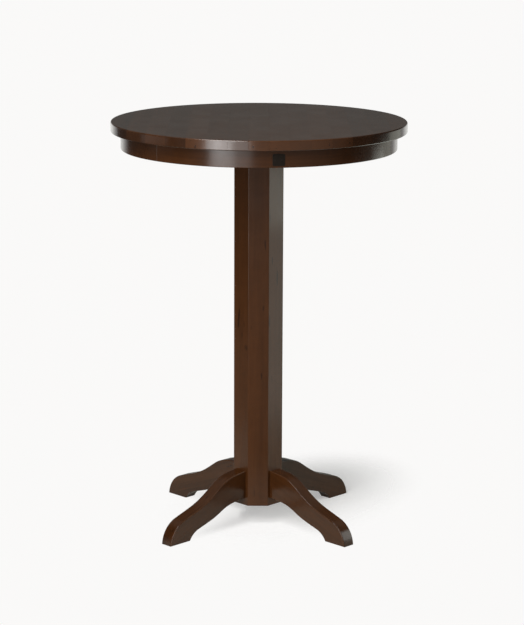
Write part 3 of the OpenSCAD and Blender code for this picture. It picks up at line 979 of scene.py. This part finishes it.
def floor_paint(colour):
    """Pale paint that fades into the backdrop, and is clear from below"""
    material, tree, shader = blank("floor_paint")
    material.cycles.emission_sampling = "NONE"
    place = object_place(tree)
    seen, glossy = seen_rays(tree)

    # To the eye it fades out in a slanting oval around the shadow, and to all other rays in a circle
    shape = {"Location": (0.10, 0.20, 0), "Rotation": (0, 0, -0.53), "Scale": (0.32, 0.52, 1.0)}
    oval = add(tree, "ShaderNodeMapping", {"Vector": place, **shape}, vector_type="TEXTURE")
    from_oval = vector_maths(tree, "LENGTH", oval.outputs["Vector"])
    from_circle = vector_maths(tree, "DISTANCE", place, CIRCLE_MIDDLE)
    past_oval = remap(tree, from_oval, low=0.30, high=1.0, smooth=True)
    past_circle = remap(tree, from_circle, low=0.9, high=1.3, smooth=True)
    below = add(tree, "ShaderNodeNewGeometry").outputs["Backfacing"]
    clear = maths(tree, "MAXIMUM", mix(tree, seen, past_circle, past_oval), below)

    # In gloss it is pale to the left and right of the column, and dim in front of it and behind it:
    # painted shade that darkens the floor's reflection there
    depth = maths(tree, "ABSOLUTE", add(tree, "ShaderNodeSeparateXYZ", {"Vector": place}).outputs["Y"])
    painted_shade_in_gloss = remap(tree, depth, low=0.30, high=0.65, smooth=True)
    in_gloss = mix(tree, painted_shade_in_gloss, NEAR_GLOSS, SHADED_GLOSS)
    paint = mix(tree, glossy, scaled(colour, FLOOR_PAINT), in_gloss)
    shown = maths(tree, "MAXIMUM", seen, maths(tree, "MULTIPLY", glossy, GLOSS_GLOW))
    tree.links.new(paint, shader.inputs["Base Color"])
    tree.links.new(maths(tree, "MULTIPLY", shown, FLOOR_GLOW), shader.inputs["Emission Strength"])
    shader.inputs["Emission Color"].default_value = (*colour, 1)
    shader.inputs["Roughness"].default_value = 0.9
    shader.inputs["Specular IOR Level"].default_value = 0.0
    through = add(tree, "ShaderNodeBsdfTransparent")
    blend = add(tree, "ShaderNodeMixShader", {0: clear, 1: shader.outputs[0], 2: through.outputs[0]})
    tree.links.new(blend.outputs[0], tree.nodes["Material Output"].inputs["Surface"])
    return material


def studio_floor(colour):
    """A round, pale floor"""
    bm = bmesh.new()
    bmesh.ops.create_circle(bm, cap_ends=True, segments=128, radius=FLOOR_RADIUS)
    mesh = bpy.data.meshes.new("floor")
    bm.to_mesh(mesh)
    bm.free()
    mesh.materials.append(floor_paint(colour))
    floor = bpy.data.objects.new("floor", mesh)
    bpy.context.scene.collection.objects.link(floor)


def studio_world(colour):
    """A white backdrop for the camera, a little grey light, and the room's dim walls in gloss"""
    world = bpy.data.worlds.new("studio")
    bpy.context.scene.world = world
    world.use_nodes = True
    world.cycles.sampling_method = "NONE"
    tree = world.node_tree
    ray = add(tree, "ShaderNodeTexCoord").outputs["Generated"]
    x, y, z = add(tree, "ShaderNodeSeparateXYZ", {"Vector": ray}).outputs

    # The walls grow paler towards the front and the left, and the wall at the back is the palest
    front = remap(tree, y, low=-0.2, high=-0.8, to_low=0.02, to_high=0.36)
    left = remap(tree, x, low=-0.6, high=-0.97, to_low=0.04, to_high=0.09)
    behind = remap(tree, y, low=0.78, high=0.92, smooth=True)
    walls = mix(tree, behind, maths(tree, "MAXIMUM", front, left), BACK_WALL)

    # Rays that fall meet the walls. Rays that rise meet a dim band and, when steep, a pale ceiling
    horizon = remap(tree, z, low=0.18, high=0.30, to_low=0.13, to_high=0.04, smooth=True)
    overhead = remap(tree, z, low=0.60, high=0.80, to_low=0.0, to_high=0.45, smooth=True)
    ceiling = maths(tree, "MAXIMUM", horizon, overhead)
    lower = remap(tree, z, low=0.04, high=-0.08, smooth=True)
    room = vector_maths(tree, "MULTIPLY", mix(tree, lower, ceiling, walls), ROOM_TINT)
    seen, glossy = seen_rays(tree)
    shown = mix(tree, seen, mix(tree, glossy, (AMBIENT,) * 3, room), colour)
    tree.links.new(shown, tree.nodes["Background"].inputs["Color"])


def studio_camera(studio):
    """A camera at the front, turned by its pan, tilt and roll"""
    camera = bpy.data.objects.new("camera", bpy.data.cameras.new("camera"))
    bpy.context.scene.collection.objects.link(camera)
    camera.data.lens = studio.lens
    camera.data.dof.use_dof = False
    tilt, pan, roll = studio.camera_tilt, studio.camera_pan, studio.camera_roll
    forward = Vector((math.sin(pan) * math.cos(tilt), math.cos(pan) * math.cos(tilt), -math.sin(tilt)))
    level = Vector((math.cos(pan), -math.sin(pan), 0))
    rise = level.cross(forward)
    right = level * math.cos(roll) - rise * math.sin(roll)
    up = level * math.sin(roll) + rise * math.cos(roll)
    turn = Matrix((right, up, -forward)).transposed().to_4x4()
    camera.matrix_world = Matrix.Translation((0, -studio.camera_back, studio.camera_height)) @ turn
    return camera


class StudioStage(bpy.types.Operator):
    """Sets up the pale floor, the soft light and the camera"""

    bl_idname = "pub_table.studio_stage"
    bl_label = "Studio"

    def execute(self, context):
        studio = context.scene.pub_table_studio
        studio_floor(studio.background)
        studio_world(studio.background)
        for name, spec in LAMPS.items():
            softbox(name, *spec)
        context.scene.camera = studio_camera(studio)
        context.scene.view_settings.view_transform = "Standard"
        return {"FINISHED"}


STEPS = (
    TopStaves, ApronRing, ColumnBoards, ShapedLegs, CrossedCleats, ZincFasteners, BareBadge, StudioStage,
)
GROUPS = {"pub_table_sizes": TableSizes, "pub_table_colours": TableColours, "pub_table_studio": Studio}


class TablePanel(bpy.types.Panel):
    """Lists the table's pieces and their sizes and colours"""

    bl_idname = "VIEW3D_PT_pub_table"
    bl_label = "Pub table"
    bl_space_type = "VIEW_3D"
    bl_region_type = "UI"
    bl_category = "Pub table"

    def draw(self, context):
        for step in STEPS:
            self.layout.operator(step.bl_idname)
        for name in GROUPS:
            group = getattr(context.scene, name)
            box = self.layout.box()
            for key in group.__annotations__:
                box.prop(group, key)


def register():
    for kind in (*GROUPS.values(), *STEPS, TablePanel):
        bpy.utils.register_class(kind)
    for name, group in GROUPS.items():
        setattr(bpy.types.Scene, name, bpy.props.PointerProperty(type=group))


def unregister():
    for name in GROUPS:
        delattr(bpy.types.Scene, name)
    for kind in (TablePanel, *reversed(STEPS), *GROUPS.values()):
        bpy.utils.unregister_class(kind)


def main():
    """Builds every piece and the studio"""
    register()
    for step in STEPS:
        group, name = step.bl_idname.split(".")
        getattr(getattr(bpy.ops, group), name)()


if __name__ == "__main__":
    main()
